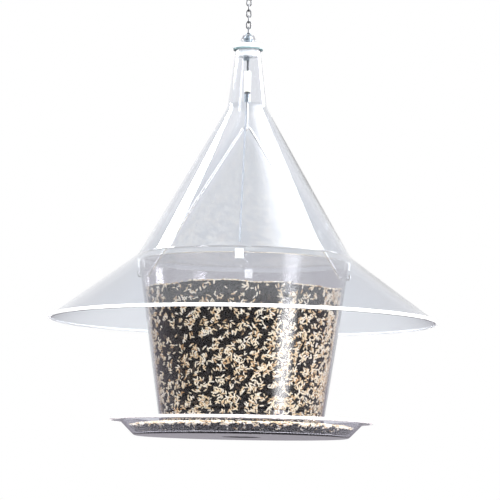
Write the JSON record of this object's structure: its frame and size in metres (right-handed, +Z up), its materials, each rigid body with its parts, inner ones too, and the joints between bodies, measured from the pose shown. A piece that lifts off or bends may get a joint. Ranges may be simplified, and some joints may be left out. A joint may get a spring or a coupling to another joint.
{
  "type": "hanging seed feeder",
  "caption": "Clear hanging bird seed feeder with a wide conical baffle hood, tapered seed hopper, wire bail, shallow tray and hanging chain.",
  "frame": {"origin": "on the feeder's vertical axis, at the inside of the S-hook's upper bowl, where it hangs", "axes": "+Z up; the wire bail lies in the XZ plane; +X to the right seen from the front (-Y)"},
  "size_m": [0.394, 0.394, 0.4951],
  "materials": {
    "steel_wire": "bright drawn stainless wire",
    "chain_steel": "zinc-plated chain",
    "blue_zinc": "blue-grey zinc plating",
    "dark_steel": "dark oiled steel",
    "nylon": "natural nylon",
    "rubber": "black rubber",
    "clear_hood": "clear polycarbonate",
    "clear_hopper": "clear polycarbonate",
    "clear_tray": "clear polycarbonate",
    "clear_small": "clear polycarbonate",
    "clip_clear": "frosted clear plastic",
    "dark_gasket": "dark blue-green rubber",
    "blue_plastic": "dark blue moulded plastic",
    "seed": "mixed bird seed"
  },
  "bodies": {
    "hook": {"s_hook": "steel_wire"},
    "top_link": {"chain_link_1": "chain_steel"},
    "chain": {"chain_link_2": "chain_steel", "chain_link_3": "chain_steel", "chain_link_4": "chain_steel", "chain_link_5": "chain_steel", "chain_link_6": "chain_steel", "chain_link_7": "chain_steel", "swivel_ball": "blue_zinc"},
    "feeder": {"upper_rod": "dark_steel", "crimp_ferrule": "blue_zinc", "coupling_sleeve": "nylon", "rubber_washer": "rubber", "lock_nut": "blue_zinc", "lower_rod": "steel_wire", "wire_bail": "steel_wire", "rim_clip_1": "clip_clear", "rim_clip_2": "clip_clear", "rim_clip_3": "clip_clear", "rim_clip_4": "clip_clear", "hopper": "clear_hopper", "seed_fill": "seed", "seed_spreader": "clear_small", "tray_bolt": "dark_steel"},
    "hood": {"hood": "clear_hood", "cap": "clear_small", "cap_gasket": "dark_gasket"},
    "tray": {"tray": "clear_tray", "tray_seed": "seed", "tray_washer": "dark_steel"},
    "thumb_nut": {"thumb_nut": "blue_plastic"}
  },
  "joints": [
    {"name": "chain_swing_fore", "type": "hinge", "parent": "hook", "child": "top_link", "pos_m": [0, 0, -0.0408], "axis": [1, 0, 0], "range_deg": [-30, 30]},
    {"name": "chain_swing_side", "type": "hinge", "parent": "top_link", "child": "chain", "pos_m": [0, 0, -0.04625], "axis": [0, 1, 0], "range_deg": [-30, 30]},
    {"name": "ball_swivel", "type": "hinge", "parent": "chain", "child": "feeder", "pos_m": [0, 0, -0.08765], "axis": [0, 0, 1], "continuous": true},
    {"name": "hood_lift", "type": "slide", "parent": "feeder", "child": "hood", "axis": [0, 0, 1], "range_m": [0, 0.028]},
    {"name": "tray_drop", "type": "slide", "parent": "feeder", "child": "tray", "axis": [0, 0, -1], "range_m": [0, 0.005]},
    {"name": "thumb_nut_turn", "type": "hinge", "parent": "tray", "child": "thumb_nut", "pos_m": [0, 0, -0.48835], "axis": [0, 0, 1], "range_deg": [0, 1800]}
  ],
  "couplings": [
    {"joint": "thumb_nut_turn", "follows": "tray_drop", "rad_per_m": 6283.2}
  ]
}
